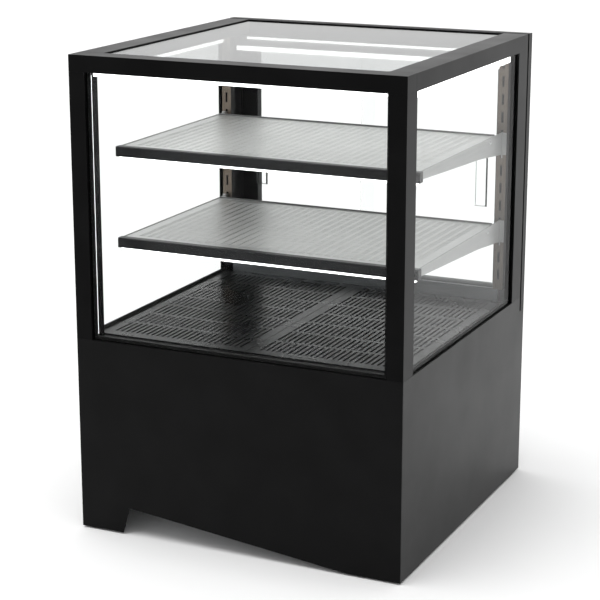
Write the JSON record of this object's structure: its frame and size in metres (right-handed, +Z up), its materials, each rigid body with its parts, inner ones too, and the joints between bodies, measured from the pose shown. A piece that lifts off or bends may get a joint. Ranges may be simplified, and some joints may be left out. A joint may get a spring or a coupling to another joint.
{
  "type": "refrigerated display case",
  "caption": "Square glass-sided refrigerated display case on a closed black base, with lit shelves on brackets, a floor grille and sliding rear doors.",
  "frame": {"origin": "centre of the footprint on the surface the case stands on", "axes": "+Z up, the front glass faces -Y, the sliding doors are at +Y, +X is the right side seen from the front"},
  "size_m": [0.6, 0.6, 0.83],
  "materials": {
    "black_panel": "satin powder coat",
    "black_frame": "satin black powder coat",
    "clear_glass": "clear tempered glass",
    "rubber_black": "matte rubber",
    "shelf_steel": "light grey sheet",
    "dark_trim": "satin dark anodised",
    "bracket_steel": "satin grey",
    "upright_steel": "zinc plated",
    "light_diffuser": "white diffuser",
    "deck_steel": "dark grey satin",
    "track_aluminium": "anodised",
    "well_plastic": "black liner over foam",
    "galvanised": "galvanised sheet",
    "compressor_black": "gloss black enamel",
    "fin_aluminium": "mill finish fins",
    "copper": "bare copper",
    "black_plastic": "moulded black plastic",
    "key_plastic": "grey keys",
    "clear_plastic": "clear moulded plastic",
    "screw_steel": "zinc plated screws"
  },
  "bodies": {
    "case": {"base_front_panel": "black_panel", "base_left_panel": "black_panel", "base_right_panel": "black_panel", "base_rear_panel": "black_panel", "service_grille": "black_panel", "grille_screws": "screw_steel", "base_pan": "galvanised", "foot_pads": "rubber_black", "glazing_sill": "black_frame", "front_left_post": "black_frame", "front_right_post": "black_frame", "rear_left_post": "black_frame", "rear_right_post": "black_frame", "front_top_rail": "black_frame", "left_top_rail": "black_frame", "right_top_rail": "black_frame", "rear_header": "black_frame", "rear_frame": "black_frame", "frame_seals": "rubber_black", "front_glass": "clear_glass", "left_glass": "clear_glass", "right_glass": "clear_glass", "top_glass": "clear_glass", "case_lights": "light_diffuser", "door_track_top": "track_aluminium", "rear_sill": "deck_steel", "insulated_well": "well_plastic", "slotted_uprights": "upright_steel", "upper_brackets": "bracket_steel", "lower_brackets": "bracket_steel", "compressor": "compressor_black", "compressor_mounts": "rubber_black", "condenser": "fin_aluminium", "condenser_fan_shroud": "black_plastic", "evaporator": "fin_aluminium", "evaporator_fan_frame": "black_plastic", "refrigerant_lines": "copper", "condensate_tray": "black_plastic", "controller": "black_plastic", "mains_inlet": "black_plastic"},
    "left_door": {"left_door_glass": "clear_glass", "left_door_rails": "track_aluminium", "left_door_pull": "clear_plastic"},
    "right_door": {"right_door_glass": "clear_glass", "right_door_rails": "track_aluminium", "right_door_pull": "clear_plastic"},
    "upper_shelf_set": {"upper_shelf": "shelf_steel", "upper_shelf_trim": "dark_trim", "upper_shelf_light": "light_diffuser"},
    "lower_shelf_set": {"lower_shelf": "shelf_steel", "lower_shelf_trim": "dark_trim", "lower_shelf_light": "light_diffuser"},
    "left_deck": {"deck_panel_left": "deck_steel"},
    "right_deck": {"deck_panel_right": "deck_steel"},
    "condenser_rotor": {"condenser_fan_blades": "black_plastic"},
    "evaporator_rotor": {"evaporator_fan_blades": "black_plastic"},
    "set_button": {"set_key": "key_plastic"},
    "down_button": {"down_key": "key_plastic"},
    "up_button": {"up_key": "key_plastic"},
    "rocker": {"power_rocker": "black_plastic"}
  },
  "joints": [
    {"name": "left_door_slide", "type": "slide", "parent": "case", "child": "left_door", "axis": [1, 0, 0], "range_m": [0, 0.256]},
    {"name": "right_door_slide", "type": "slide", "parent": "case", "child": "right_door", "axis": [-1, 0, 0], "range_m": [0, 0.256]},
    {"name": "upper_shelf_lift", "type": "slide", "parent": "case", "child": "upper_shelf_set", "axis": [0, 0, 1], "range_m": [0, 0.05]},
    {"name": "lower_shelf_lift", "type": "slide", "parent": "case", "child": "lower_shelf_set", "axis": [0, 0, 1], "range_m": [0, 0.05]},
    {"name": "left_deck_lift", "type": "slide", "parent": "case", "child": "left_deck", "axis": [0, 0, 1], "range_m": [0, 0.05]},
    {"name": "right_deck_lift", "type": "slide", "parent": "case", "child": "right_deck", "axis": [0, 0, 1], "range_m": [0, 0.05]},
    {"name": "condenser_fan_spin", "type": "hinge", "parent": "case", "child": "condenser_rotor", "pos_m": [0.115, -0.167, 0.1265], "axis": [0, 1, 0], "continuous": true},
    {"name": "evaporator_fan_spin", "type": "hinge", "parent": "case", "child": "evaporator_rotor", "pos_m": [0.17, 0.068, 0.27], "axis": [0, 0, 1], "continuous": true},
    {"name": "rocker_tip", "type": "hinge", "parent": "case", "child": "rocker", "pos_m": [-0.152, 0.289, 0.274], "axis": [1, 0, 0], "range_deg": [-16, 0]},
    {"name": "set_key_press", "type": "slide", "parent": "case", "child": "set_button", "axis": [0, -1, 0], "range_m": [0, 0.0012], "stiffness_N_per_m": 600},
    {"name": "down_key_press", "type": "slide", "parent": "case", "child": "down_button", "axis": [0, -1, 0], "range_m": [0, 0.0012], "stiffness_N_per_m": 600},
    {"name": "up_key_press", "type": "slide", "parent": "case", "child": "up_button", "axis": [0, -1, 0], "range_m": [0, 0.0012], "stiffness_N_per_m": 600}
  ]
}
